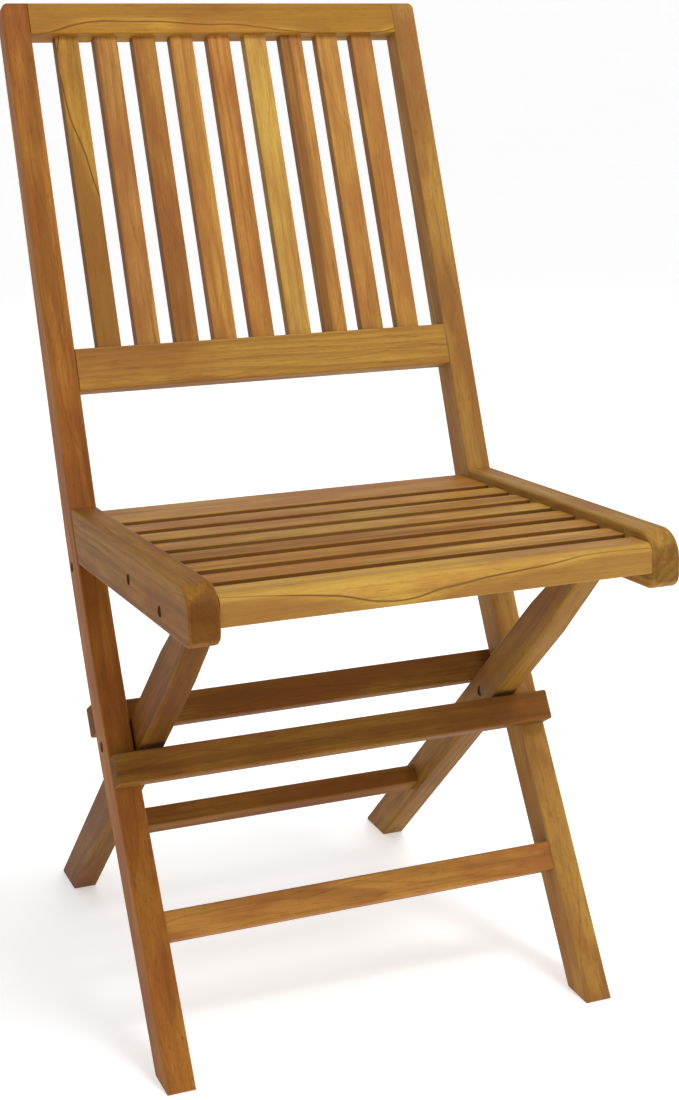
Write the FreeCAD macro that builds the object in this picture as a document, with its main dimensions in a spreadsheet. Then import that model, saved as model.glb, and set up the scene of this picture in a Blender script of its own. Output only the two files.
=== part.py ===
"""Folding slatted wooden chair, as a parametric FreeCAD document.

The chair stands open on the plane Z = 0 and faces -Y.  Its back frame (two bent stiles,
top rail, back slats, lower rail, two crossbars and a stretcher) is fixed.  A second frame
of two straight rear legs crosses it at the crossing pivots, two steel link arms swing on
the stiles, and the slatted seat hangs from the link arms and rests on the rear legs.

Lengths are millimetres and angles degrees.  Every driving size is a cell of the "Sizes"
spreadsheet; a Dim carries a size both as a number, for placing geometry, and as the
spreadsheet expression that its constraint is bound to.
"""
import FreeCAD, Part
import math
import os

import Sketcher
from FreeCAD import Placement, Rotation, Vector

DRIVING_SIZES = {
    # overall
    "overall_width": 426.0,
    "overall_height": 890.0,
    "setback": 200.16,           # from the front feet to the middle of the chair's depth
    # stiles: straight, bent, straight again
    "stile_thickness": 25.0,
    "stile_depth": 33.0,
    "stile_top_depth": 24.0,
    "lower_lean": 33.1,          # lean of the front-leg stretch from vertical
    "upper_lean": 23.6,          # lean of the back stretch from vertical
    "bend_start": 250.0,         # along the front edge from the floor
    "bend_radius": 1809.0,
    "rear_bend_lean": 25.2,      # lean at which the rear edge leaves its bend
    "crown_round": 6.0,
    "edge_ease": 2.0,
    "fine_ease": 1.2,
    "rail_ease": 3.0,
    # rails and slats of the back
    "top_rail_height": 31.0,
    "lower_rail_height": 40.0,
    "lower_rail_depth": 20.0,
    "lower_rail_offset": 77.0,   # from the end of the bend up to the lower rail
    "back_slat_width": 23.0,
    "back_slat_thickness": 12.0,
    "back_slat_setback": 7.0,
    "back_slat_pitch": 38.2,
    # bars across the lower frames
    "crossbar_height": 28.0,
    "crossbar_depth": 20.0,
    "crossbar_offset": 13.8,     # from the crossing pivot, along the stile
    "stretcher_height": 26.0,
    "stretcher_depth": 22.0,
    "stretcher_setback": 2.0,
    "stretcher_path": 126.0,     # along the front edge from the floor
    "rear_stretcher_height": 22.0,
    "rear_stretcher_depth": 20.0,
    "rear_stretcher_drop": 211.5,
    # crossing pivot and rear legs
    "crossing_depth_pos": 181.0,
    "crossing_height": 246.0,
    "rear_leg_lean": 45.7,
    "rear_leg_reach": 261.3,     # crossing pivot to seat pivot
    "rear_leg_depth": 33.0,
    "rear_leg_thickness": 24.0,
    "rear_leg_tip_radius": 10.0,
    "rear_leg_taper": 110.0,
    "leg_gap": 1.5,
    # link arms
    "link_pivot_depth_pos": 265.6,
    "link_pivot_height": 390.0,
    "link_seat_depth_pos": 80.2,
    "link_seat_height": 430.5,
    "link_width": 14.0,
    "link_thickness": 3.0,
    "link_gap": 1.3,
    # seat, measured along the rails from the seat pivot
    "seat_tilt": 3.75,
    "seat_rail_thickness": 25.6,
    "seat_rail_height": 48.0,
    "seat_pivot_rise": 14.0,     # of the seat pivot above the rail's bottom edge
    "rail_front_reach": 76.0,
    "rail_rear_low": 250.2,
    "rail_rear_high": 269.2,
    "rail_nose_radius": 24.0,
    "rail_chin_radius": 12.0,
    "slat_step": 8.0,            # of the slats below the rails' top edges
    "seat_slat_thickness": 10.0,
    "seat_slat_width": 27.4,
    "seat_slat_pitch": 42.4,
    "first_slat_start": -29.3,
    "rear_slat_end": 287.0,
    "front_rail_start": -73.5,
    "front_rail_end": -44.3,
    "front_rail_height": 25.5,
    "front_rail_nose": 9.0,
    # pivot hardware
    "pin_radius": 4.8,
    "running_clearance": 0.08,
    "pin_recess": 1.5,
    "head_radius": 7.5,
    "head_thickness": 2.4,
    "face_gap": 0.3,
    "sleeve_radius": 7.0,
    "washer_radius": 10.0,
}

BACK_SLAT_COUNT = 9
SEAT_SLAT_COUNT = 6
SIDES = {"left": -1.0, "right": 1.0}
OUTPUT_FOLDER = "parts"

doc = FreeCAD.newDocument("FoldingChair")
exported = []


class Dim:
    """A size as a number and as the spreadsheet expression that gives it."""

    def __init__(self, value, text):
        self.value = float(value)
        self.text = text

    def _with(self, other, symbol, value):
        text = other.text if isinstance(other, Dim) else repr(float(other))
        return Dim(value, "(%s %s %s)" % (self.text, symbol, text))

    def __add__(self, other):
        return self._with(other, "+", self.value + number(other))

    def __sub__(self, other):
        return self._with(other, "-", self.value - number(other))

    def __mul__(self, other):
        return self._with(other, "*", self.value * number(other))

    def __truediv__(self, other):
        return self._with(other, "/", self.value / number(other))

    def __neg__(self):
        return self * -1.0


def number(size):
    """The plain value of a Dim or of a number."""
    return size.value if isinstance(size, Dim) else float(size)


def dim(alias):
    """The driving size kept under this spreadsheet alias."""
    return Dim(DRIVING_SIZES[alias], "Sizes." + alias)


def sine(angle):
    return Dim(math.sin(math.radians(angle.value)), "sin(%s * 1deg)" % angle.text)


def cosine(angle):
    return Dim(math.cos(math.radians(angle.value)), "cos(%s * 1deg)" % angle.text)


def make_sheet():
    """Keep every driving size in one spreadsheet, under its alias."""
    sheet = doc.addObject("Spreadsheet::Sheet", "Sizes")
    for row, (alias, value) in enumerate(DRIVING_SIZES.items(), start=1):
        sheet.set("A%d" % row, alias)
        sheet.set("B%d" % row, str(value))
        sheet.setAlias("B%d" % row, alias)
    doc.recompute()


# ---------------------------------------------------------------- shared positions

LOWER = dim("lower_lean")
UPPER = dim("upper_lean")
HALF_WIDTH = dim("overall_width") / 2.0
INNER_FACE = HALF_WIDTH - dim("stile_thickness")

CROSSING = (dim("crossing_depth_pos") - dim("setback"), dim("crossing_height"))
LINK_PIVOT = (dim("link_pivot_depth_pos") - dim("setback"), dim("link_pivot_height"))
LINK_SEAT = (dim("link_seat_depth_pos") - dim("setback"), dim("link_seat_height"))
SEAT_PIVOT = (
    CROSSING[0] - dim("rear_leg_reach") * sine(dim("rear_leg_lean")),
    CROSSING[1] + dim("rear_leg_reach") * cosine(dim("rear_leg_lean")),
)

LEG_OUTER_FACE = INNER_FACE - dim("leg_gap")
LEG_INNER_FACE = LEG_OUTER_FACE - dim("rear_leg_thickness")
LINK_OUTER_FACE = LEG_INNER_FACE - dim("link_gap")
LINK_INNER_FACE = LINK_OUTER_FACE - dim("link_thickness")
SEAT_INNER_FACE = HALF_WIDTH - dim("seat_rail_thickness")


def along(point, lean, ahead, distance):
    """Move up a line that leans back by 'lean', and 'ahead' forward, square to it."""
    return (
        point[0] + sine(lean) * distance - cosine(lean) * ahead,
        point[1] + cosine(lean) * distance + sine(lean) * ahead,
    )


ZERO = Dim(0.0, "0.0")
FRONT_FOOT = (-dim("setback"), ZERO)
BEND_LOW = along(FRONT_FOOT, LOWER, ZERO, dim("bend_start"))
BEND_CENTRE = along(BEND_LOW, LOWER, dim("bend_radius"), ZERO)


def on_bend(lean, radius):
    """The point of the bend, about its centre, where the stile leans by 'lean'."""
    return (BEND_CENTRE[0] + cosine(lean) * radius, BEND_CENTRE[1] - sine(lean) * radius)


BEND_HIGH = on_bend(UPPER, dim("bend_radius"))
BACK_LENGTH = (dim("overall_height") - BEND_HIGH[1]) / cosine(UPPER)
STILE_TOP = along(BEND_HIGH, UPPER, ZERO, BACK_LENGTH)


def lean_at_crossing():
    """Lean of the stile square to the crossing pivot, where the bend has just begun."""
    rise = CROSSING[1].value - BEND_CENTRE[1].value
    back = CROSSING[0].value - BEND_CENTRE[0].value
    return math.degrees(math.atan2(-rise, back))


# ---------------------------------------------------------------- modelling helpers

def tilt(degrees):
    """Turn about +X."""
    return Rotation(Vector(1, 0, 0), degrees)


def place(point, degrees=0.0, across=0.0):
    """Placement of a piece whose own origin is at this depth and height."""
    return Placement(Vector(across, number(point[0]), number(point[1])), tilt(degrees))


def keep(piece, label, placement=None):
    """Name a finished sub-part and remember it for export."""
    piece.Label = label
    if placement is not None:
        piece.Placement = placement
    exported.append(piece)
    return piece


def plane_of(body, role):
    """One of the body's own origin planes."""
    return next(f for f in body.Origin.OriginFeatures if getattr(f, "Role", "") == role)


def side_sketch(body, name):
    """A sketch on the body's YZ plane: sketch X runs back and sketch Y up."""
    sketch = body.newObject("Sketcher::SketchObject", name)
    sketch.AttachmentSupport = (plane_of(body, "YZ_Plane"), [""])
    sketch.MapMode = "FlatFace"
    return sketch


def bind(sketch, kind, *rest):
    """Add a dimensional constraint and tie it to its spreadsheet expression."""
    size = rest[-1]
    index = sketch.addConstraint(Sketcher.Constraint(kind, *rest[:-1], size.value))
    sketch.setExpression("Constraints[%d]" % index, size.text)


def outline(sketch, points, arcs=None):
    """Draw and fully constrain a closed outline through 'points'.

    arcs maps the index of an edge's first point to (centre, radius) where that edge is round.
    """
    arcs = arcs or {}
    ends = []
    for i, start in enumerate(points):
        finish = points[(i + 1) % len(points)]
        if i in arcs:
            ends.append(add_arc(sketch, start, finish, *arcs[i]))
        else:
            line = Part.LineSegment(flat(start), flat(finish))
            ends.append((sketch.addGeometry(line), 1, 2))
    for i, (edge, _first, last) in enumerate(ends):
        following, first, _last = ends[(i + 1) % len(ends)]
        sketch.addConstraint(Sketcher.Constraint("Coincident", edge, last, following, first))
    for (edge, first, _last), point in zip(ends, points):
        bind(sketch, "DistanceX", -1, 1, edge, first, point[0])
        bind(sketch, "DistanceY", -1, 1, edge, first, point[1])


def add_arc(sketch, start, finish, centre, radius):
    """Add the shorter arc between two points; returns its index and its end positions."""
    first = math.atan2(number(start[1]) - number(centre[1]), number(start[0]) - number(centre[0]))
    last = math.atan2(number(finish[1]) - number(centre[1]), number(finish[0]) - number(centre[0]))
    circle = Part.Circle(flat(centre), Vector(0, 0, 1), radius.value)
    turns_left = (last - first) % (2 * math.pi) < math.pi
    span = (first, last) if turns_left else (last, first)
    index = sketch.addGeometry(Part.ArcOfCircle(circle, *span))
    bind(sketch, "Radius", index, radius)
    return (index, 1, 2) if turns_left else (index, 2, 1)


def flat(point):
    """A sketch point as a vector."""
    return Vector(number(point[0]), number(point[1]), 0)


def solid_plate(name, points, thickness, arcs=None):
    """A body whose side view is 'points', padded equally to both sides."""
    body = doc.addObject("PartDesign::Body", name)
    sketch = side_sketch(body, name + "_outline")
    outline(sketch, points, arcs)
    pad = body.newObject("PartDesign::Pad", name + "_pad")
    pad.Profile = sketch
    pad.SideType = "Symmetric"
    pad.setExpression("Length", thickness.text)
    return body


def drill(body, name, point, radius):
    """Cut a round hole across the body at a point of its side view."""
    doc.recompute()
    volume = body.Shape.Volume
    sketch = side_sketch(body, name + "_circle")
    circle = sketch.addGeometry(Part.Circle(flat(point), Vector(0, 0, 1), radius.value))
    bind(sketch, "DistanceX", -1, 1, circle, 3, point[0])
    bind(sketch, "DistanceY", -1, 1, circle, 3, point[1])
    bind(sketch, "Radius", circle, radius)
    pocket = body.newObject("PartDesign::Pocket", name)
    pocket.Profile = sketch
    pocket.SideType = "Symmetric"
    pocket.Type = "ThroughAll"
    doc.recompute()
    if not body.Shape.Volume < volume:
        raise RuntimeError(name + " cut nothing")


def ease(body, alias, wanted):
    """Round the body's edges that 'wanted' accepts."""
    doc.recompute()
    names = ["Edge%d" % i for i, edge in enumerate(body.Shape.Edges, start=1) if wanted(edge)]
    if not names:
        raise RuntimeError("no edge of %s to round" % body.Name)
    rounded = body.Tip
    fillet = body.newObject("PartDesign::Fillet", "%s_%s" % (body.Name, alias))
    fillet.Base = (rounded, names)
    fillet.setExpression("Radius", "Sizes." + alias)


def runs_across(edge):
    """Straight edge parallel to X."""
    box = edge.BoundBox
    return box.YLength < 0.01 and box.ZLength < 0.01


def runs_up(edge):
    """Straight edge parallel to the piece's own Z."""
    box = edge.BoundBox
    return box.XLength < 0.01 and box.YLength < 0.01


def every_edge(_edge):
    """Any edge."""
    return True


def on_side_face(edge):
    """Long edge that lies in one of the two side faces."""
    return edge.BoundBox.XLength < 0.01 and edge.Length > 40.0


def rectangle(low, high):
    """The corners of a rectangle, anticlockwise from its low corner."""
    return [low, (high[0], low[1]), high, (low[0], high[1])]


def bar(label, length, depth, height, placement, rounding="edge_ease", edges=runs_across):
    """A straight bar; its own origin is the middle of its front bottom edge."""
    body = solid_plate(label + "_body", rectangle((ZERO, ZERO), (depth, height)), length)
    ease(body, rounding, edges)
    return keep(body, label, placement)


# ---------------------------------------------------------------- back frame

def make_stile(side, sign):
    """Bent stile: back upright above, front leg below."""
    depth = dim("stile_depth")
    rear_radius = dim("bend_radius") + depth
    points = [
        FRONT_FOOT,
        BEND_LOW,
        BEND_HIGH,
        STILE_TOP,
        along(STILE_TOP, UPPER, -dim("stile_top_depth"), ZERO),
        on_bend(dim("rear_bend_lean"), rear_radius),
        on_bend(LOWER, rear_radius),
        (FRONT_FOOT[0] + depth / cosine(LOWER), ZERO),
    ]
    arcs = {1: (BEND_CENTRE, dim("bend_radius")), 5: (BEND_CENTRE, rear_radius)}
    body = solid_plate("stile_%s_body" % side, points, dim("stile_thickness"), arcs)
    drill(body, "stile_%s_crossing_hole" % side, CROSSING, dim("pin_radius"))
    drill(body, "stile_%s_link_hole" % side, LINK_PIVOT, dim("pin_radius"))
    half = dim("stile_thickness").value / 2.0
    crown = dim("overall_height").value - dim("stile_top_depth").value

    def is_crown_edge(edge):
        box = edge.BoundBox
        return box.ZMin > crown and abs(box.XMin - sign * half) < 0.01 and box.XLength < 0.01 \
            and edge.Length < 30.0

    def is_end_edge(edge):
        return runs_across(edge) and (edge.BoundBox.ZMax < 1.0 or edge.BoundBox.ZMin > crown)

    ease(body, "crown_round", is_crown_edge)
    ease(body, "edge_ease", lambda edge: on_side_face(edge) or is_end_edge(edge))
    across = sign * (HALF_WIDTH.value - half)
    return keep(body, "stile_%s" % side, Placement(Vector(across, 0, 0), Rotation()))


def make_back():
    """Top rail, lower rail and the slats between them, all between the stiles."""
    span = INNER_FACE * 2.0
    lean = -UPPER.value
    rail_start = dim("lower_rail_offset")
    slat_start = rail_start + dim("lower_rail_height")
    top_start = BACK_LENGTH - dim("top_rail_height")
    bar("top_rail", span, dim("stile_top_depth"), dim("top_rail_height"),
        place(along(BEND_HIGH, UPPER, ZERO, top_start), lean))
    bar("lower_back_rail", span, dim("lower_rail_depth"), dim("lower_rail_height"),
        place(along(BEND_HIGH, UPPER, ZERO, rail_start), lean))
    slat_foot = along(BEND_HIGH, UPPER, -dim("back_slat_setback"), slat_start)
    for i in range(BACK_SLAT_COUNT):
        steps = i - (BACK_SLAT_COUNT - 1) / 2.0
        across = steps * dim("back_slat_pitch").value
        bar("back_slat_%d" % (i + 1), dim("back_slat_width"), dim("back_slat_thickness"),
            top_start - slat_start, place(slat_foot, lean, across), "fine_ease", runs_up)


def make_frame_bars():
    """The two crossbars that stop the rear legs, and the front stretcher."""
    radius = dim("bend_radius").value
    reach = dim("crossbar_offset").value + dim("crossbar_height").value / 2.0
    turn = math.degrees(reach / radius)
    half = dim("crossbar_height").value / 2.0
    gap = dim("face_gap").value / 3.0
    for label, lean, face in (
        ("front_crossbar", lean_at_crossing() + turn, radius - gap - dim("crossbar_depth").value),
        ("rear_crossbar", lean_at_crossing() - turn, radius + gap + dim("stile_depth").value),
    ):
        angle = math.radians(lean)
        back = BEND_CENTRE[0].value + face * math.cos(angle) - half * math.sin(angle)
        rise = BEND_CENTRE[1].value - face * math.sin(angle) - half * math.cos(angle)
        bar(label, dim("overall_width"), dim("crossbar_depth"), dim("crossbar_height"),
            place((back, rise), -lean), edges=every_edge)
    bar("front_stretcher", INNER_FACE * 2.0, dim("stretcher_depth"), dim("stretcher_height"),
        place(along(FRONT_FOOT, LOWER, -dim("stretcher_setback"), dim("stretcher_path")), -LOWER.value))


# ---------------------------------------------------------------- rear legs

def make_rear_leg(side, sign):
    """Straight rear leg, drawn about the crossing pivot with the leg upright."""
    lean = dim("rear_leg_lean")
    half = dim("rear_leg_depth") / 2.0
    reach = dim("rear_leg_reach")
    tip = dim("rear_leg_tip_radius")
    shoulder = reach - dim("rear_leg_taper")
    foot = -(dim("crossing_height") / cosine(lean))
    slope = half * (sine(lean) / cosine(lean))
    points = [
        (-half, foot + slope),
        (half, foot - slope),
        (half, shoulder),
        (tip, reach),
        (ZERO, reach + tip),
        (-tip, reach),
        (-half, shoulder),
    ]
    arcs = {3: ((ZERO, reach), tip), 4: ((ZERO, reach), tip)}
    body = solid_plate("rear_leg_%s_body" % side, points, dim("rear_leg_thickness"), arcs)
    running = dim("pin_radius") + dim("running_clearance")
    drill(body, "rear_leg_%s_crossing_hole" % side, (ZERO, ZERO), running)
    drill(body, "rear_leg_%s_seat_hole" % side, (ZERO, reach), dim("pin_radius"))
    foot_top = (foot + slope).value + 1.0
    ease(body, "edge_ease",
         lambda edge: on_side_face(edge) or runs_across(edge) and edge.BoundBox.ZMax < foot_top)
    across = sign * (LEG_INNER_FACE.value + dim("rear_leg_thickness").value / 2.0)
    return keep(body, "rear_leg_%s" % side, place(CROSSING, lean.value, across))


def make_rear_stretcher():
    """Bar between the rear legs, centred in their depth."""
    lean = dim("rear_leg_lean")
    low = dim("rear_stretcher_drop") + dim("rear_stretcher_height") / 2.0
    foot = (
        CROSSING[0] + low * sine(lean) - dim("rear_stretcher_depth") / 2.0 * cosine(lean),
        CROSSING[1] - low * cosine(lean) - dim("rear_stretcher_depth") / 2.0 * sine(lean),
    )
    bar("rear_stretcher", LEG_INNER_FACE * 2.0, dim("rear_stretcher_depth"),
        dim("rear_stretcher_height"), place(foot, lean.value))


# ---------------------------------------------------------------- link arms

def make_link(side, sign):
    """Flat steel arm from the stile to the seat rail, drawn with the arm level."""
    back = LINK_SEAT[0] - LINK_PIVOT[0]
    rise = LINK_SEAT[1] - LINK_PIVOT[1]
    length = Dim(math.hypot(back.value, rise.value),
                 "sqrt(%s * %s + %s * %s)" % (back.text, back.text, rise.text, rise.text))
    end = dim("link_width") / 2.0
    points = [
        (ZERO, -end),
        (length, -end),
        (length + end, ZERO),
        (length, end),
        (ZERO, end),
        (-end, ZERO),
    ]
    arcs = {1: ((length, ZERO), end), 2: ((length, ZERO), end),
            4: ((ZERO, ZERO), end), 5: ((ZERO, ZERO), end)}
    body = solid_plate("link_%s_body" % side, points, dim("link_thickness"), arcs)
    running = dim("pin_radius") + dim("running_clearance")
    drill(body, "link_%s_stile_hole" % side, (ZERO, ZERO), running)
    drill(body, "link_%s_seat_hole" % side, (length, ZERO), running)
    angle = math.degrees(math.atan2(rise.value, back.value))
    across = sign * (LINK_INNER_FACE.value + dim("link_thickness").value / 2.0)
    return keep(body, "link_arm_%s" % side, place(LINK_PIVOT, angle, across))


# ---------------------------------------------------------------- seat

TILT = dim("seat_tilt")
SEAT_TOP = dim("seat_rail_height") - dim("seat_pivot_rise")
SLAT_TOP = SEAT_TOP - dim("slat_step")


def seat_point(point):
    """A point of the side view in the seat's own directions, about the seat pivot."""
    back = point[0] - SEAT_PIVOT[0]
    rise = point[1] - SEAT_PIVOT[1]
    return (back * cosine(TILT) - rise * sine(TILT), back * sine(TILT) + rise * cosine(TILT))


def seat_place(back, rise, across=0.0):
    """Placement of a seat piece from its place in the seat's own directions."""
    angle = math.radians(TILT.value)
    depth_pos = SEAT_PIVOT[0].value + back * math.cos(angle) + rise * math.sin(angle)
    height = SEAT_PIVOT[1].value - back * math.sin(angle) + rise * math.cos(angle)
    return place((depth_pos, height), -TILT.value, across)


def make_seat_rail(side, sign):
    """Side rail with a round nose; its rear end stops just short of the stile's front edge."""
    front = -dim("rail_front_reach")
    low = -dim("seat_pivot_rise")
    nose = dim("rail_nose_radius")
    chin = dim("rail_chin_radius")
    points = [
        (dim("rail_rear_low"), low),
        (dim("rail_rear_high"), SEAT_TOP),
        (front + nose, SEAT_TOP),
        (front, SEAT_TOP - nose),
        (front, low + chin),
        (front + chin, low),
    ]
    arcs = {2: ((front + nose, SEAT_TOP - nose), nose), 4: ((front + chin, low + chin), chin)}
    body = solid_plate("seat_rail_%s_body" % side, points, dim("seat_rail_thickness"), arcs)
    drill(body, "seat_rail_%s_pivot_hole" % side, (ZERO, ZERO), dim("pin_radius"))
    drill(body, "seat_rail_%s_link_hole" % side, seat_point(LINK_SEAT), dim("pin_radius"))
    ease(body, "rail_ease", lambda edge: edge.BoundBox.XLength < 0.01 and edge.Length > 31.0)
    across = sign * (SEAT_INNER_FACE.value + dim("seat_rail_thickness").value / 2.0)
    return keep(body, "seat_rail_%s" % side, seat_place(0.0, 0.0, across))


def make_seat_slats():
    """Front rail, the equal slats and the wide rear slat, between the side rails."""
    span = SEAT_INNER_FACE * 2.0
    thickness = dim("seat_slat_thickness")
    underside = SLAT_TOP - thickness
    start = dim("first_slat_start")
    for i in range(SEAT_SLAT_COUNT):
        back = start + dim("seat_slat_pitch") * float(i)
        bar("seat_slat_%d" % (i + 1), span, dim("seat_slat_width"), thickness,
            seat_place(back.value, underside.value), "fine_ease")
    back = start + dim("seat_slat_pitch") * float(SEAT_SLAT_COUNT)
    bar("seat_rear_slat", span, dim("rear_slat_end") - back, thickness,
        seat_place(back.value, underside.value), "fine_ease")


def make_seat_front_rail():
    """Deeper front rail with a rounded upper front edge."""
    low = SLAT_TOP - dim("front_rail_height")
    nose = dim("front_rail_nose")
    front = dim("front_rail_start")
    end = dim("front_rail_end")
    points = [
        (front, low),
        (end, low),
        (end, SLAT_TOP),
        (front + nose, SLAT_TOP),
        (front, SLAT_TOP - nose),
    ]
    arcs = {3: ((front + nose, SLAT_TOP - nose), nose)}
    body = solid_plate("seat_front_rail_body", points, SEAT_INNER_FACE * 2.0, arcs)
    ease(body, "fine_ease", lambda edge: runs_across(edge) and edge.BoundBox.ZMax < low.value + 1.0)
    keep(body, "seat_front_rail", seat_place(0.0, 0.0))


# ---------------------------------------------------------------- pivot hardware

def rod(name, sign, point, inner, outer, radius):
    """Cylinder across the chair between two distances from its middle plane."""
    piece = doc.addObject("Part::Cylinder", name)
    piece.setExpression("Radius", radius.text)
    piece.setExpression("Height", (outer - inner).text)
    start = inner.value if sign > 0 else -outer.value
    base = Vector(start, number(point[0]), number(point[1]))
    piece.Placement = Placement(base, Rotation(Vector(0, 1, 0), 90))
    return piece


def ring(name, sign, point, inner, outer, radii):
    """Tube across the chair, with its hole's and its outside radius."""
    tube = doc.addObject("Part::Cut", name)
    tube.Base = rod(name + "_outside", sign, point, inner, outer, radii[1])
    tube.Tool = rod(name + "_hole", sign, point, inner, outer, radii[0])
    return tube


def headed_pin(name, sign, point, head_face, outer):
    """Pin whose flat head faces outwards at 'head_face'."""
    inner = head_face - dim("head_thickness")
    pin = doc.addObject("Part::Fuse", name)
    pin.Base = rod(name + "_shaft", sign, point, inner, outer, dim("pin_radius"))
    pin.Tool = rod(name + "_head", sign, point, inner, head_face, dim("head_radius"))
    return pin


def pair(label, make):
    """The left and right copies of one piece of hardware, as one sub-part."""
    group = doc.addObject("Part::Compound", label + "_pair")
    group.Links = [make("%s_%s" % (label, side), sign) for side, sign in SIDES.items()]
    return keep(group, label, Placement())


def make_hardware():
    """Pins, sleeves and washers of the four pivots on each side."""
    shaft = dim("pin_radius")
    gap = dim("face_gap")
    flush = HALF_WIDTH - dim("pin_recess")
    running = shaft + dim("running_clearance")
    sleeve = (shaft, dim("sleeve_radius"))
    pair("crossing_pins", lambda name, sign: rod(
        name, sign, CROSSING, LEG_INNER_FACE + dim("pin_recess"), flush, shaft))
    pair("crossing_washers", lambda name, sign: ring(
        name, sign, CROSSING, LEG_OUTER_FACE, INNER_FACE - gap, (running, dim("washer_radius"))))
    pair("link_pins", lambda name, sign: headed_pin(
        name, sign, LINK_PIVOT, LINK_INNER_FACE - gap, flush))
    pair("link_sleeves", lambda name, sign: ring(
        name, sign, LINK_PIVOT, LINK_OUTER_FACE + gap, INNER_FACE, sleeve))
    pair("seat_link_pins", lambda name, sign: headed_pin(
        name, sign, LINK_SEAT, LINK_INNER_FACE - gap, flush))
    pair("seat_link_sleeves", lambda name, sign: ring(
        name, sign, LINK_SEAT, LINK_OUTER_FACE + gap, SEAT_INNER_FACE, sleeve))
    pair("seat_pivot_studs", lambda name, sign: rod(
        name, sign, SEAT_PIVOT, SEAT_INNER_FACE, flush, shaft))
    pair("leg_pivot_studs", lambda name, sign: rod(
        name, sign, SEAT_PIVOT, LEG_INNER_FACE, LEG_OUTER_FACE, shaft))


# ---------------------------------------------------------------- build, check, export

def check_document():
    """Stop if any object failed or any sub-part's shape is empty or invalid."""
    for item in doc.Objects:
        if "Invalid" in item.State or "Error" in item.State:
            raise RuntimeError("%s failed: %s" % (item.Name, item.State))
    for piece in exported:
        if piece.Shape.isNull() or not piece.Shape.isValid():
            raise RuntimeError("%s has no valid shape" % piece.Label)


def main():
    make_sheet()
    for side, sign in SIDES.items():
        make_stile(side, sign)
        make_rear_leg(side, sign)
        make_link(side, sign)
        make_seat_rail(side, sign)
    make_back()
    make_frame_bars()
    make_rear_stretcher()
    make_seat_slats()
    make_seat_front_rail()
    make_hardware()
    doc.recompute()
    check_document()
    os.makedirs(OUTPUT_FOLDER, exist_ok=True)
    for piece in exported:
        piece.Shape.exportStep(os.path.join(OUTPUT_FOLDER, piece.Label + ".step"))


main()
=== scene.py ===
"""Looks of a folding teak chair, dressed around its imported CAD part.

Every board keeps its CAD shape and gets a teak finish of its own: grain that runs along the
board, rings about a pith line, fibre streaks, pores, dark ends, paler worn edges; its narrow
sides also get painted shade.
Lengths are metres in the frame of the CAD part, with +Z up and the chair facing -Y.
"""
import logging
import math
from dataclasses import dataclass, field
from enum import Enum

import bpy
import numpy as np
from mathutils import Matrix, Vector


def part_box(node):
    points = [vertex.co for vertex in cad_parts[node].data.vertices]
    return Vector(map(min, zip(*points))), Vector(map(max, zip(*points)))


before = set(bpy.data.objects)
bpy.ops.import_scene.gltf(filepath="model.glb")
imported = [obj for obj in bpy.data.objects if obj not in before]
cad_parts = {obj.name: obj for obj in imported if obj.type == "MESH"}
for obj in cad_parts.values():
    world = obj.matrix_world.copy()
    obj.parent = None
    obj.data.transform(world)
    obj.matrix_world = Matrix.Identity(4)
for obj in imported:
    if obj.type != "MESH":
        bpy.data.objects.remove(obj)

LOG = logging.getLogger("folding_chair")
Colour = tuple[float, float, float]
Direction = tuple[float, float, float]
PATTERN_REACH = 40.0        # how far the boards' pieces of the grain pattern are spread
PITH_SPREAD = 0.5           # how far the pith line moves from board to board, in rings


def leaning(degrees: float) -> Direction:
    """Unit vector up the side view, leaning back from vertical by this angle."""
    angle = math.radians(degrees)
    return (0.0, math.sin(angle), math.cos(angle))


class Cut(Enum):
    """How a board was sawn, as the pith's distance across and behind it in metres."""

    QUARTER = (0.110, 0.012)
    RIFT = (0.060, 0.060)
    FLAT = (0.004, 0.085)


@dataclass(frozen=True)
class Lie:
    """How a board lies in the chair.

    Args:
        grain: unit vector along the board.
        face: unit vector square to its broad face.
    """

    grain: Direction
    face: Direction

    def across(self) -> Direction:
        """Unit vector across the broad face."""
        return tuple(float(c) for c in np.cross(self.face, self.grain))


STILE_LIE = Lie(leaning(27.0), (1.0, 0.0, 0.0))
BACK_SLAT_LIE = Lie(leaning(23.6), leaning(23.6 + 90.0))
BACK_RAIL_LIE = Lie((1.0, 0.0, 0.0), leaning(23.6 + 90.0))
LOWER_BAR_LIE = Lie((1.0, 0.0, 0.0), leaning(32.0 + 90.0))
REAR_LEG_LIE = Lie(leaning(-45.7), (1.0, 0.0, 0.0))
REAR_BAR_LIE = Lie((1.0, 0.0, 0.0), leaning(-45.7 + 90.0))
SEAT_RAIL_LIE = Lie(leaning(93.75), (1.0, 0.0, 0.0))
SEAT_SLAT_LIE = Lie((1.0, 0.0, 0.0), leaning(3.75))


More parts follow.
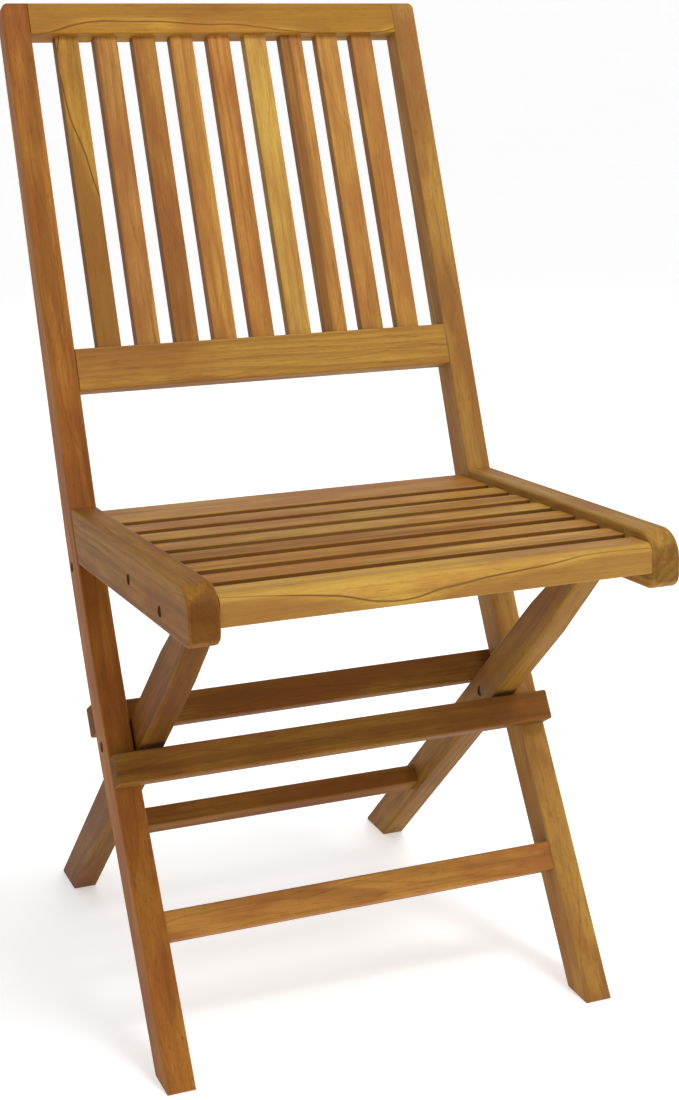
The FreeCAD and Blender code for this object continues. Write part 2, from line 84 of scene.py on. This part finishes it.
class Nodes:
    """Small helper that adds shader nodes and joins their sockets."""

    def __init__(self, name: str) -> None:
        """Start an empty material of this name."""
        self.material = bpy.data.materials.new(name)
        self.material.use_nodes = True
        self.tree = self.material.node_tree
        self.tree.nodes.clear()
        self.output = self.tree.nodes.new("ShaderNodeOutputMaterial")

    def feed(self, socket: bpy.types.NodeSocket, value: object) -> None:
        """Join a socket to another node's output, or set it to a constant."""
        if isinstance(value, bpy.types.NodeSocket):
            self.tree.links.new(value, socket)
        else:
            socket.default_value = value

    def math(self, operation: str, *values: object, clamp: bool = False) -> bpy.types.NodeSocket:
        """Add a Math node and return its result."""
        node = self.tree.nodes.new("ShaderNodeMath")
        node.operation = operation
        node.use_clamp = clamp
        for socket, value in zip(node.inputs, values):
            self.feed(socket, value)
        return node.outputs[0]

    def dot(self, vector: bpy.types.NodeSocket, direction: Direction) -> bpy.types.NodeSocket:
        """Return the part of a vector that lies along a direction."""
        node = self.tree.nodes.new("ShaderNodeVectorMath")
        node.operation = "DOT_PRODUCT"
        self.feed(node.inputs[0], vector)
        self.feed(node.inputs[1], direction)
        return node.outputs["Value"]

    def combine(self, x: object, y: object, z: object) -> bpy.types.NodeSocket:
        """Return the vector with these three parts."""
        node = self.tree.nodes.new("ShaderNodeCombineXYZ")
        for socket, value in zip(node.inputs, (x, y, z)):
            self.feed(socket, value)
        return node.outputs[0]

    def noise(self, vector: bpy.types.NodeSocket, detail: float, rough: float) -> bpy.types.NodeSocket:
        """Return noise from 0 to 1 at a vector that is already scaled."""
        node = self.tree.nodes.new("ShaderNodeTexNoise")
        self.feed(node.inputs["Vector"], vector)
        node.inputs["Scale"].default_value = 1.0
        node.inputs["Detail"].default_value = detail
        node.inputs["Roughness"].default_value = rough
        return node.outputs[0]

    def span(self, value: object, low: float, high: float, to: tuple[float, float] = (0.0, 1.0)
             ) -> bpy.types.NodeSocket:
        """Map low..high smoothly to the range 'to'."""
        node = self.tree.nodes.new("ShaderNodeMapRange")
        node.interpolation_type = "SMOOTHSTEP"
        for name, item in zip(("Value", "From Min", "From Max", "To Min", "To Max"),
                              (value, low, high, *to)):
            self.feed(node.inputs[name], item)
        return node.outputs[0]

    def mix(self, factor: object, first: object, second: object, blend: str = "MIX"
            ) -> bpy.types.NodeSocket:
        """Mix two colours."""
        node = self.tree.nodes.new("ShaderNodeMix")
        node.data_type = "RGBA"
        node.blend_type = blend
        self.feed(node.inputs[0], factor)
        self.feed(node.inputs[6], first if not isinstance(first, tuple) else (*first, 1.0))
        self.feed(node.inputs[7], second if not isinstance(second, tuple) else (*second, 1.0))
        return node.outputs[2]

    def coordinates(self, output: str) -> bpy.types.NodeSocket:
        """Return one output of a Texture Coordinate node."""
        return self.tree.nodes.new("ShaderNodeTexCoord").outputs[output]

    def finish(self, colour: object, roughness: object, height: object, depth: float,
               **constants: object) -> bpy.types.Material:
        """Close the material with a Principled shader and a bump."""
        shader = self.tree.nodes.new("ShaderNodeBsdfPrincipled")
        bump = self.tree.nodes.new("ShaderNodeBump")
        bump.inputs["Strength"].default_value = 0.6
        bump.inputs["Distance"].default_value = depth
        self.feed(bump.inputs["Height"], height)
        self.feed(shader.inputs["Base Color"], colour)
        self.feed(shader.inputs["Roughness"], roughness)
        self.feed(shader.inputs["Normal"], bump.outputs[0])
        for name, value in constants.items():
            shader.inputs[name.replace("_", " ")].default_value = value
        self.feed(self.output.inputs["Surface"], shader.outputs[0])
        return self.material


@dataclass(frozen=True)
class Teak:
    """Satin oiled teak of one board.

    Args:
        tone: colour of the pale early wood.
        shade: how dark the late wood is, as a share of the tone.
        ring: spacing of the growth rings in metres.
        streak: strength of the broad dark streaks, 0 to 1.
        vein: strength of the thin dark line that wanders along the board, 0 to 1.
        vein_at: how far the dark line stands off the board's middle, in metres.
        painted_side_shade: strength of the painted shade that darkens the narrow sides, 0 to 1.
        cut: how the board was sawn.
    """

    tone: Colour
    shade: float = 0.60
    ring: float = 0.0085
    streak: float = 0.45
    vein: float = 0.25
    vein_at: float = 0.0
    painted_side_shade: float = 0.0
    cut: Cut = Cut.RIFT

    def material(self, name: str, lie: Lie, seed: int) -> bpy.types.Material:
        """Build the board's own material.

        Rings: the distance from a pith line beside the board, bent by slow noise, divided by
        the ring spacing; its fraction rises slowly and drops sharply like a season's growth.
        The rings show only in patches, where a second slow noise is high.
        Streaks, fibres and pores: noise stretched along the grain, each finer than the last.
        Vein: a thin line where the distance across and through the board, moved by a slow
        noise, equals its offset; the wood on its low side is darker.
        Sides: painted shade darkens the narrow sides; the end grain is stained darker.
        Worn edges: where the surface faces between the board's two side directions.

        Args:
            name: the board's name.
            lie: how the board lies.
            seed: picks this board's piece of the pattern.

        Returns:
            The finished material.
        """
        n = Nodes("teak_" + name)
        random = np.random.default_rng(seed)
        shift = [float(v) for v in random.uniform(-PATTERN_REACH, PATTERN_REACH, 3)]
        place = n.coordinates("Object")
        normal = n.coordinates("Normal")
        low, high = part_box(name)
        centre = (np.array(low) + np.array(high)) / 2.0
        along = n.dot(place, lie.grain)
        across = n.math("SUBTRACT", n.dot(place, lie.across()), float(centre @ lie.across()))
        deep = n.math("SUBTRACT", n.dot(place, lie.face), float(centre @ lie.face))

        def stretched(length_scale: float, side_scale: float, offset: float) -> bpy.types.NodeSocket:
            """Vector for noise that is drawn out along the grain."""
            return n.combine(
                n.math("MULTIPLY_ADD", along, length_scale, shift[0] + offset),
                n.math("MULTIPLY_ADD", across, side_scale, shift[1]),
                n.math("MULTIPLY_ADD", deep, side_scale, shift[2]))

        slow = n.noise(stretched(2.6, 16.0, 0.0), 2.0, 0.5)
        pith_across, pith_deep = self.cut.value
        turn = 1.0 if seed % 2 else -1.0
        middle = (PITH_SPREAD * (shift[0] / PATTERN_REACH)) * self.ring
        a = n.math("ADD", across, turn * pith_across + middle)
        b = n.math("ADD", deep, pith_deep)
        radius = n.math("SQRT", n.math("ADD", n.math("MULTIPLY", a, a), n.math("MULTIPLY", b, b)))
        bent = n.math("MULTIPLY_ADD", n.math("SUBTRACT", slow, 0.5), self.ring * 5.0, radius)
        phase = n.math("FRACT", n.math("DIVIDE", bent, self.ring))
        late = n.math("MULTIPLY", n.span(phase, 0.25, 0.88), n.span(phase, 0.90, 1.0, (1.0, 0.0)))

        broad = n.noise(stretched(1.6, 75.0, 7.0), 3.0, 0.55)
        fibre = n.noise(stretched(12.0, 420.0, 13.0), 4.0, 0.68)
        pore = n.noise(stretched(55.0, 1500.0, 23.0), 1.0, 0.5)
        cloud_and_sheen = n.noise(stretched(7.0, 22.0, 31.0), 3.0, 0.6)
        patch = n.noise(stretched(4.0, 12.0, 43.0), 2.0, 0.5)
        wander = n.math("SUBTRACT", n.noise(stretched(4.4, 5.0, 57.0), 2.0, 0.45), 0.5)

        dark = tuple(c * self.shade * w for c, w in zip(self.tone, (1.0, 0.86, 0.78)))
        deepest = tuple(c * self.shade * w for c, w in zip(self.tone, (0.50, 0.40, 0.34)))
        pale = tuple(min(1.0, c * w) for c, w in zip(self.tone, (1.12, 1.20, 0.86)))
        russet = tuple(c * w for c, w in zip(self.tone, (0.84, 0.70, 0.58)))
        # Soft patches of paler and redder wood: partly the wood's own uneven colour, partly painted
        # sheen for the shimmer of the oiled grain.
        colour = n.mix(n.span(cloud_and_sheen, 0.38, 0.60), russet, pale)
        ringed = n.math("MULTIPLY", late, n.span(patch, 0.40, 0.62, (0.04, 0.55)))
        colour = n.mix(ringed, colour, dark)
        streaks = n.math("MULTIPLY", n.span(broad, 0.50, 0.66), self.streak)
        colour = n.mix(streaks, colour, deepest)
        vein = n.math("MULTIPLY_ADD", wander, 0.095, n.math("ADD", across, deep))
        vein = n.math("SUBTRACT", vein, self.vein_at)
        colour = n.mix(n.span(vein, -0.008, 0.001, (0.70 * self.vein, 0.0)), colour, dark)
        line = n.span(n.math("ABSOLUTE", vein), 0.0002, 0.0013, (self.vein, 0.0))
        colour = n.mix(line, colour, deepest)
        colour = n.mix(n.span(fibre, 0.44, 0.66, (0.0, 0.45)), colour, dark)
        speckle = n.noise(stretched(160.0, 700.0, 71.0), 3.0, 0.7)
        colour = n.mix(n.span(speckle, 0.50, 0.72, (0.0, 0.38)), colour, dark)
        colour = n.mix(n.span(pore, 0.64, 0.74, (0.0, 0.55)), colour, deepest)

        # Painted shade: the narrow sides are darkened where shade falls between the boards.
        side = n.span(n.math("ABSOLUTE", n.dot(normal, lie.across())), 0.70, 0.97)
        colour = n.mix(n.math("MULTIPLY", side, self.painted_side_shade), colour, deepest)
        end = n.span(n.math("ABSOLUTE", n.dot(normal, lie.grain)), 0.75, 0.95)
        colour = n.mix(n.math("MULTIPLY", end, 0.55), colour, deepest)
        corner = n.math("MULTIPLY", n.math("ABSOLUTE", n.dot(normal, lie.across())),
                        n.math("ABSOLUTE", n.dot(normal, lie.face)))
        worn = n.math("MULTIPLY", n.span(corner, 0.16, 0.46), n.span(broad, 0.38, 0.62, (0.35, 1.0)))
        colour = n.mix(n.math("MULTIPLY", worn, 0.38), colour, pale)

        rough = n.math("MULTIPLY_ADD", fibre, 0.22, 0.44)
        rough = n.math("MULTIPLY_ADD", worn, -0.07, rough)
        rough = n.math("MULTIPLY_ADD", end, 0.20, rough, clamp=True)
        height = n.math("MULTIPLY_ADD", late, -0.30, fibre)
        height = n.math("MULTIPLY_ADD", n.span(pore, 0.64, 0.74), -0.7, height)
        return n.finish(colour, rough, height, 0.00022, Specular_IOR_Level=0.10)


@dataclass(frozen=True)
class BrushedSteel:
    """Dull brushed steel of the pivot hardware.

    Args:
        tone: colour of the clean metal.
        tarnish: colour where it has dulled.
        brush: direction of the brush lines.
    """

    tone: Colour = (0.34, 0.33, 0.31)
    tarnish: Colour = (0.17, 0.14, 0.11)
    brush: Direction = (0.0, 1.0, 0.0)

    def material(self, name: str) -> bpy.types.Material:
        """Build the metal: fine lines drawn out along the brush direction over soft tarnish."""
        n = Nodes("steel_" + name)
        place = n.coordinates("Object")
        along = n.dot(place, self.brush)
        x = n.dot(place, (1.0, 0.0, 0.0))
        z = n.dot(place, (0.0, 0.0, 1.0))
        lines = n.noise(n.combine(n.math("MULTIPLY", along, 40.0), n.math("MULTIPLY", x, 1800.0),
                                  n.math("MULTIPLY", z, 1800.0)), 3.0, 0.6)
        blotch = n.noise(n.combine(n.math("MULTIPLY", along, 110.0), n.math("MULTIPLY", x, 110.0),
                                   n.math("MULTIPLY", z, 110.0)), 3.0, 0.6)
        colour = n.mix(n.span(blotch, 0.42, 0.72, (0.0, 0.8)), self.tone, self.tarnish)
        rough = n.math("MULTIPLY_ADD", lines, 0.30, 0.28, clamp=True)
        return n.finish(colour, rough, lines, 0.00004, Metallic=0.9)


DARK_PINS = BrushedSteel(tone=(0.16, 0.10, 0.06), tarnish=(0.06, 0.035, 0.02))


def dress(node: str, material: bpy.types.Material) -> None:
    """Give a CAD node this material in place of its own.

    Args:
        node: the node's name.
        material: what it wears.
    """
    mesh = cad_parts[node].data
    mesh.materials.clear()
    mesh.materials.append(material)
    LOG.info("%s wears %s", node, material.name)


def dress_boards(boards: dict[str, Teak], lie: Lie, first_seed: int) -> None:
    """Give each board its teak, with a seed of its own.

    Args:
        boards: the finish of each board by name.
        lie: how all of them lie.
        first_seed: seed of the first board; the others count on from it.
    """
    for i, (node, teak) in enumerate(boards.items()):
        dress(node, teak.material(node, lie, first_seed + i))


@dataclass
class BackFrame:
    """Stiles, back rails and slats, and the bars between the front legs.

    Args:
        stiles: the bent uprights.
        slats: the nine back slats, from the left.
        rails: the rails above and below the slats.
        bars: the crossbars and the stretcher.
        pins: metal of the pins and sleeves fixed in the stiles.
    """

    stiles: dict[str, Teak] = field(default_factory=lambda: {
        "stile_left": Teak((0.33, 0.122, 0.024), streak=0.40),
        "stile_right": Teak((0.37, 0.186, 0.050), streak=0.30, cut=Cut.QUARTER)})
    slats: dict[str, Teak] = field(default_factory=lambda: {
        # The slats' narrow sides get painted shade.
        "back_slat_1": Teak((0.38, 0.182, 0.036), painted_side_shade=0.45, ring=0.012, streak=0.45,
                             vein=0.95, vein_at=0.003, cut=Cut.FLAT),
        "back_slat_2": Teak((0.41, 0.190, 0.055), painted_side_shade=0.45, streak=0.80),
        "back_slat_3": Teak((0.34, 0.148, 0.038), painted_side_shade=0.45, streak=0.30),
        "back_slat_4": Teak((0.46, 0.212, 0.055), painted_side_shade=0.45, streak=0.25),
        "back_slat_5": Teak((0.44, 0.187, 0.050), painted_side_shade=0.45, streak=0.20, cut=Cut.QUARTER),
        "back_slat_6": Teak((0.50, 0.288, 0.074), painted_side_shade=0.45, shade=0.70, streak=0.15, cut=Cut.QUARTER),
        "back_slat_7": Teak((0.42, 0.188, 0.052), painted_side_shade=0.45, streak=0.75),
        "back_slat_8": Teak((0.47, 0.232, 0.062), painted_side_shade=0.45, streak=0.30),
        "back_slat_9": Teak((0.46, 0.228, 0.060), painted_side_shade=0.45, streak=0.25, cut=Cut.QUARTER)})
    rails: dict[str, Teak] = field(default_factory=lambda: {
        "top_rail": Teak((0.43, 0.214, 0.034), ring=0.014, streak=0.45, vein=0.90, cut=Cut.FLAT),
        "lower_back_rail": Teak((0.42, 0.212, 0.050), streak=0.35, cut=Cut.QUARTER)})
    bars: dict[str, Teak] = field(default_factory=lambda: {
        "front_crossbar": Teak((0.245, 0.106, 0.020), streak=0.45),
        "rear_crossbar": Teak((0.26, 0.115, 0.025), streak=0.40),
        "front_stretcher": Teak((0.43, 0.190, 0.052), streak=0.35, cut=Cut.FLAT)})
    pins: BrushedSteel = DARK_PINS

    def dress(self) -> None:
        """Dress every board and the pins that are fixed in the stiles."""
        dress_boards(self.stiles, STILE_LIE, 11)
        dress_boards(self.slats, BACK_SLAT_LIE, 21)
        dress_boards(self.rails, BACK_RAIL_LIE, 41)
        dress_boards(self.bars, LOWER_BAR_LIE, 51)
        steel = self.pins.material("frame_pins")
        for node in ("crossing_pins", "link_pins", "link_sleeves"):
            dress(node, steel)


@dataclass
class RearLegs:
    """The two straight rear legs and the bar between them.

    Args:
        legs: the straight legs.
        bar: the stretcher between them.
        steel: metal of the washers and studs.
    """

    legs: dict[str, Teak] = field(default_factory=lambda: {
        "rear_leg_left": Teak((0.20, 0.080, 0.013), streak=0.45),
        "rear_leg_right": Teak((0.27, 0.124, 0.026), streak=0.35)})
    bar: dict[str, Teak] = field(default_factory=lambda: {
        "rear_stretcher": Teak((0.26, 0.108, 0.022), streak=0.35)})
    steel: BrushedSteel = BrushedSteel()

    def dress(self) -> None:
        """Dress the legs, their bar and their hardware."""
        dress_boards(self.legs, REAR_LEG_LIE, 61)
        dress_boards(self.bar, REAR_BAR_LIE, 65)
        metal = self.steel.material("leg_hardware")
        for node in ("crossing_washers", "leg_pivot_studs"):
            dress(node, metal)


@dataclass
class LinkArms:
    """The two flat steel arms that tie the seat to the stiles.

    Args:
        nodes: names of the arms.
        steel: their metal.
    """

    nodes: tuple[str, ...] = ("link_arm_left", "link_arm_right")
    steel: BrushedSteel = BrushedSteel()

    def dress(self) -> None:
        """Dress both arms."""
        material = self.steel.material("link_arms")
        for node in self.nodes:
            dress(node, material)


@dataclass
class Seat:
    """Side rails, front rail and slats of the seat.

    Args:
        rails: the side rails.
        slats: the front rail, the six slats and the rear slat.
        pins: metal of the pins and sleeves fixed in the side rails.
    """

    rails: dict[str, Teak] = field(default_factory=lambda: {
        "seat_rail_left": Teak((0.27, 0.114, 0.018), streak=0.45),
        "seat_rail_right": Teak((0.37, 0.188, 0.044), streak=0.35)})
    slats: dict[str, Teak] = field(default_factory=lambda: {
        "seat_front_rail": Teak((0.49, 0.268, 0.068), shade=0.56, ring=0.016, streak=0.25,
                                vein=0.90, vein_at=-0.012, cut=Cut.FLAT),
        # The slats' narrow sides get painted shade, which draws the dark bands between the slats.
        "seat_slat_1": Teak((0.48, 0.244, 0.056), painted_side_shade=0.90, streak=0.45),
        "seat_slat_2": Teak((0.42, 0.198, 0.044), painted_side_shade=0.90, streak=0.60),
        "seat_slat_3": Teak((0.41, 0.190, 0.042), painted_side_shade=0.90, streak=0.50),
        "seat_slat_4": Teak((0.48, 0.258, 0.060), painted_side_shade=0.90, streak=0.60, cut=Cut.FLAT, ring=0.012),
        "seat_slat_5": Teak((0.47, 0.246, 0.054), painted_side_shade=0.90, streak=0.40),
        "seat_slat_6": Teak((0.42, 0.200, 0.046), painted_side_shade=0.90, streak=0.50),
        "seat_rear_slat": Teak((0.43, 0.208, 0.046), painted_side_shade=0.90, streak=0.45)})
    pins: BrushedSteel = DARK_PINS

    def dress(self) -> None:
        """Dress the boards and the pins that are fixed in the side rails."""
        dress_boards(self.rails, SEAT_RAIL_LIE, 71)
        dress_boards(self.slats, SEAT_SLAT_LIE, 81)
        steel = self.pins.material("seat_pins")
        for node in ("seat_pivot_studs", "seat_link_pins", "seat_link_sleeves"):
            dress(node, steel)


@dataclass
class Studio:
    """Pale floor, soft lights and the camera.

    Args:
        eye: place of the camera.
        pitch: tilt of the camera below level, as a negative angle in degrees.
        yaw: turn of the camera about Z, in degrees.
        lens: focal length in millimetres.
        shift: sideways and upward shift of the picture, as shares of its larger side.
        level: radius of the flat floor.
        rise: radius of the quarter circle that the floor turns up by.
        turns: number of columns round the floor.
        flat_rings: rings of the level part.
        bend_rings: rings of the quarter circle.
        floor_tone: colour of the floor.
        floor_mottle: colour of its faint mottling.
        floor_glow: how much light the floor gives itself.
        sky_strength: strength of the even white surround.
        aim: point that every lamp looks at.
        lamps: place, size and power of each lamp.
    """

    eye: Direction = (-0.6265, -1.5749, 0.8895)
    pitch: float = -13.91
    yaw: float = -22.4
    lens: float = 62.56
    shift: tuple[float, float] = (0.0015, -0.0667)
    level: float = 7.0
    rise: float = 6.0
    turns: int = 96
    flat_rings: int = 5
    bend_rings: int = 24
    floor_tone: Colour = (0.90, 0.90, 0.90)
    floor_mottle: Colour = (0.82, 0.82, 0.82)
    floor_glow: float = 0.42
    sky_strength: float = 0.42
    aim: Direction = (0.0, 0.0, 0.45)
    lamps: dict[str, tuple[Direction, float, float]] = field(default_factory=lambda: {
        "key": ((0.9, -1.7, 3.7), 1.3, 78.0),
        "fill": ((2.4, -1.8, 1.6), 2.0, 5.0),
        "back": ((0.4, 2.4, 2.4), 2.2, 10.0)})

    def build(self) -> None:
        """Make the floor, the sky, the lights and the camera."""
        self.floor()
        self.sky()
        for name, (place, size, power) in self.lamps.items():
            self.area(name, place, size, power)
        self.camera()

    def floor(self) -> None:
        """A flat disc that turns up into a wall, so that no horizon shows.

        A profile is carried once round the Z axis. It runs level to the radius 'level', then
        up a quarter circle of radius 'rise': r = level + rise sin(t), z = rise (1 - cos(t)).
        """
        rings = self.flat_rings + self.bend_rings
        angles = np.linspace(0.0, 2.0 * np.pi, self.turns + 1)[:-1]
        turn, step = np.meshgrid(angles, np.arange(rings), indexing="ij")
        last_flat = self.flat_rings - 1
        bend = np.clip((step - last_flat) / self.bend_rings, 0.0, 1.0) * np.pi / 2.0
        radius = np.where(step < last_flat, self.level * (step + 1) / self.flat_rings,
                          self.level + self.rise * np.sin(bend))
        height = self.rise * (1.0 - np.cos(bend))
        points = np.stack([radius * np.cos(turn), radius * np.sin(turn), height], axis=-1)
        columns = np.arange(self.turns)
        here = columns[:, None] * rings + np.arange(rings - 1)[None, :]
        there = ((columns + 1) % self.turns)[:, None] * rings + np.arange(rings - 1)[None, :]
        quads = np.stack([here, here + 1, there + 1, there], axis=-1).reshape(-1, 4)
        middle = (columns * rings).tolist()
        mesh = bpy.data.meshes.new("studio_floor")
        mesh.from_pydata(points.reshape(-1, 3).tolist(), [], [*quads.tolist(), middle])
        n = Nodes("pale_floor")
        grain = n.noise(n.coordinates("Object"), 2.0, 0.5)
        colour = n.mix(n.span(grain, 0.3, 0.7, (0.0, 0.04)), self.floor_tone, self.floor_mottle)
        glow = {"Emission_Color": (1.0, 1.0, 1.0, 1.0), "Emission_Strength": self.floor_glow}
        mesh.materials.append(n.finish(colour, 0.8, grain, 0.0001, **glow))
        floor = bpy.data.objects.new("studio_floor", mesh)
        bpy.context.scene.collection.objects.link(floor)

    def sky(self) -> None:
        """An even white surround."""
        world = bpy.data.worlds.new("white_surround")
        world.use_nodes = True
        background = world.node_tree.nodes["Background"]
        background.inputs[0].default_value = (1.0, 1.0, 1.0, 1.0)
        background.inputs[1].default_value = self.sky_strength
        bpy.context.scene.world = world
        bpy.context.scene.view_settings.view_transform = "Standard"

    def area(self, name: str, place: Direction, size: float, power: float) -> None:
        """Add a square soft light aimed at the middle of the chair.

        Args:
            name: the light's name.
            place: where it stands.
            size: side of the square in metres.
            power: its power in watts.
        """
        light = bpy.data.lights.new(name, "AREA")
        light.size = size
        light.energy = power
        lamp = bpy.data.objects.new(name, light)
        lamp.location = place
        view = Vector(self.aim) - lamp.location
        lamp.rotation_euler = view.to_track_quat("-Z", "Y").to_euler()
        bpy.context.scene.collection.objects.link(lamp)

    def camera(self) -> None:
        """The camera, turned by its yaw about Z and its pitch about its own X."""
        data = bpy.data.cameras.new("camera")
        data.lens = self.lens
        data.shift_x, data.shift_y = self.shift
        eye = bpy.data.objects.new("camera", data)
        eye.location = self.eye
        eye.rotation_euler = (math.radians(90.0 + self.pitch), 0.0, math.radians(self.yaw))
        bpy.context.scene.collection.objects.link(eye)
        bpy.context.scene.camera = eye


def main() -> None:
    """Dress the chair, part by part, then set up the studio."""
    logging.basicConfig(level=logging.INFO, format="%(name)s: %(message)s")
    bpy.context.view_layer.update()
    for assembly in (BackFrame(), RearLegs(), LinkArms(), Seat()):
        assembly.dress()
    Studio().build()


if __name__ == "__main__":
    main()
